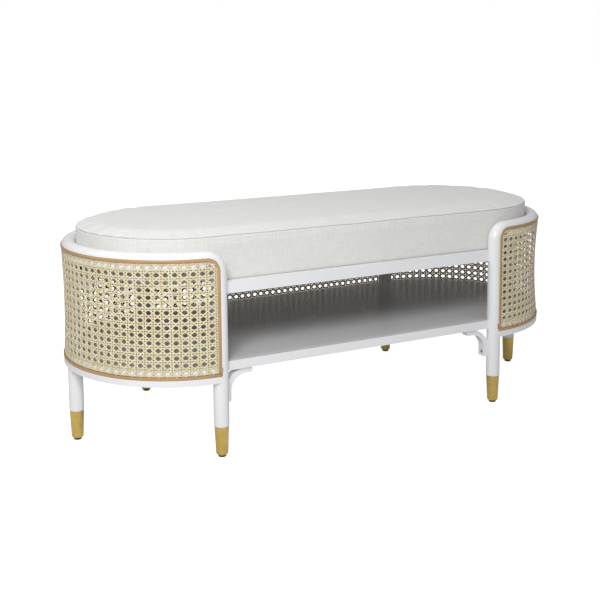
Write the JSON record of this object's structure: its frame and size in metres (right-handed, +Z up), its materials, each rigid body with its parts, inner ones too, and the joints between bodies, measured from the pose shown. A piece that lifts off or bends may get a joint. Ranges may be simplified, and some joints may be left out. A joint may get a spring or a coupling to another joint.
{
  "type": "upholstered cane bench",
  "caption": "Low capsule-shaped bench: padded linen seat, open shelf at the front, woven cane round the ends and back, white bent-pole frame, brass-tipped legs with levelling glides.",
  "frame": {"origin": "on the floor, under the middle of the bench", "axes": "+X along the length, towards the right end seen from the open front; the open front faces -Y; +Z up"},
  "size_m": [1.2168, 0.513, 0.47],
  "materials": {
    "white_lacquer": "satin",
    "natural_cane": "satin",
    "rattan_spline": "satin",
    "linen": "matte",
    "foam": "matte",
    "plywood": "matte",
    "black_cambric": "matte",
    "beech": "matte",
    "zinc_steel": "satin",
    "brass": "satin",
    "black_nylon": "matte"
  },
  "bodies": {
    "frame": {"apron_rail_back": "white_lacquer", "apron_rail_front": "white_lacquer", "bent_pole_left": "white_lacquer", "bent_pole_right": "white_lacquer", "bracket_screws": "zinc_steel", "cane_back": "natural_cane", "cane_left": "natural_cane", "cane_right": "natural_cane", "cane_spline_lower": "rattan_spline", "cane_spline_upper": "rattan_spline", "cane_splines_back": "rattan_spline", "cleat_screws": "zinc_steel", "corner_bracket_back_left": "white_lacquer", "corner_bracket_back_right": "white_lacquer", "corner_bracket_front_left": "white_lacquer", "corner_bracket_front_right": "white_lacquer", "dust_cover": "black_cambric", "ferrule_back_left": "brass", "ferrule_back_right": "brass", "ferrule_end_left": "brass", "ferrule_end_right": "brass", "ferrule_front_left": "brass", "ferrule_front_right": "brass", "ferrule_pins": "brass", "glide_inserts": "brass", "lower_rail_back": "white_lacquer", "lower_rail_left": "white_lacquer", "lower_rail_right": "white_lacquer", "pole_dowels": "beech", "post_back_left": "white_lacquer", "post_back_right": "white_lacquer", "post_end_left": "white_lacquer", "post_end_right": "white_lacquer", "rail_dowels": "beech", "rail_screws": "zinc_steel", "seat_board": "plywood", "seat_cleat_left": "white_lacquer", "seat_cleat_right": "white_lacquer", "seat_cover": "linen", "seat_foam": "foam", "seat_screws": "zinc_steel", "shelf_blocks": "white_lacquer", "shelf_board": "white_lacquer", "shelf_rail_front": "white_lacquer", "shelf_screws": "zinc_steel", "top_pole_back": "white_lacquer"},
    "pad_front_left": {"glide_pad_front_left": "black_nylon"},
    "stud_front_left": {"glide_stud_front_left": "zinc_steel"},
    "pad_front_right": {"glide_pad_front_right": "black_nylon"},
    "stud_front_right": {"glide_stud_front_right": "zinc_steel"},
    "pad_end_left": {"glide_pad_end_left": "black_nylon"},
    "stud_end_left": {"glide_stud_end_left": "zinc_steel"},
    "pad_end_right": {"glide_pad_end_right": "black_nylon"},
    "stud_end_right": {"glide_stud_end_right": "zinc_steel"},
    "pad_back_left": {"glide_pad_back_left": "black_nylon"},
    "stud_back_left": {"glide_stud_back_left": "zinc_steel"},
    "pad_back_right": {"glide_pad_back_right": "black_nylon"},
    "stud_back_right": {"glide_stud_back_right": "zinc_steel"}
  },
  "joints": [
    {"name": "glide_slide_front_left", "type": "slide", "parent": "frame", "child": "pad_front_left", "axis": [0, 0, -1], "range_m": [0, 0.008]},
    {"name": "glide_turn_front_left", "type": "hinge", "parent": "pad_front_left", "child": "stud_front_left", "pos_m": [-0.352, -0.24, 0.002], "axis": [0, 0, -1], "range_deg": [0, 2304]},
    {"name": "glide_slide_front_right", "type": "slide", "parent": "frame", "child": "pad_front_right", "axis": [0, 0, -1], "range_m": [0, 0.008]},
    {"name": "glide_turn_front_right", "type": "hinge", "parent": "pad_front_right", "child": "stud_front_right", "pos_m": [0.352, -0.24, 0.002], "axis": [0, 0, -1], "range_deg": [0, 2304]},
    {"name": "glide_slide_end_left", "type": "slide", "parent": "frame", "child": "pad_end_left", "axis": [0, 0, -1], "range_m": [0, 0.008]},
    {"name": "glide_turn_end_left", "type": "hinge", "parent": "pad_end_left", "child": "stud_end_left", "pos_m": [-0.592, 0, 0.002], "axis": [0, 0, -1], "range_deg": [0, 2304]},
    {"name": "glide_slide_end_right", "type": "slide", "parent": "frame", "child": "pad_end_right", "axis": [0, 0, -1], "range_m": [0, 0.008]},
    {"name": "glide_turn_end_right", "type": "hinge", "parent": "pad_end_right", "child": "stud_end_right", "pos_m": [0.592, 0, 0.002], "axis": [0, 0, -1], "range_deg": [0, 2304]},
    {"name": "glide_slide_back_left", "type": "slide", "parent": "frame", "child": "pad_back_left", "axis": [0, 0, -1], "range_m": [0, 0.008]},
    {"name": "glide_turn_back_left", "type": "hinge", "parent": "pad_back_left", "child": "stud_back_left", "pos_m": [-0.352, 0.24, 0.002], "axis": [0, 0, -1], "range_deg": [0, 2304]},
    {"name": "glide_slide_back_right", "type": "slide", "parent": "frame", "child": "pad_back_right", "axis": [0, 0, -1], "range_m": [0, 0.008]},
    {"name": "glide_turn_back_right", "type": "hinge", "parent": "pad_back_right", "child": "stud_back_right", "pos_m": [0.352, 0.24, 0.002], "axis": [0, 0, -1], "range_deg": [0, 2304]}
  ],
  "couplings": [
    {"joint": "glide_turn_front_left", "follows": "glide_slide_front_left", "rad_per_m": 5026.5},
    {"joint": "glide_turn_front_right", "follows": "glide_slide_front_right", "rad_per_m": 5026.5},
    {"joint": "glide_turn_end_left", "follows": "glide_slide_end_left", "rad_per_m": 5026.5},
    {"joint": "glide_turn_end_right", "follows": "glide_slide_end_right", "rad_per_m": 5026.5},
    {"joint": "glide_turn_back_left", "follows": "glide_slide_back_left", "rad_per_m": 5026.5},
    {"joint": "glide_turn_back_right", "follows": "glide_slide_back_right", "rad_per_m": 5026.5}
  ]
}
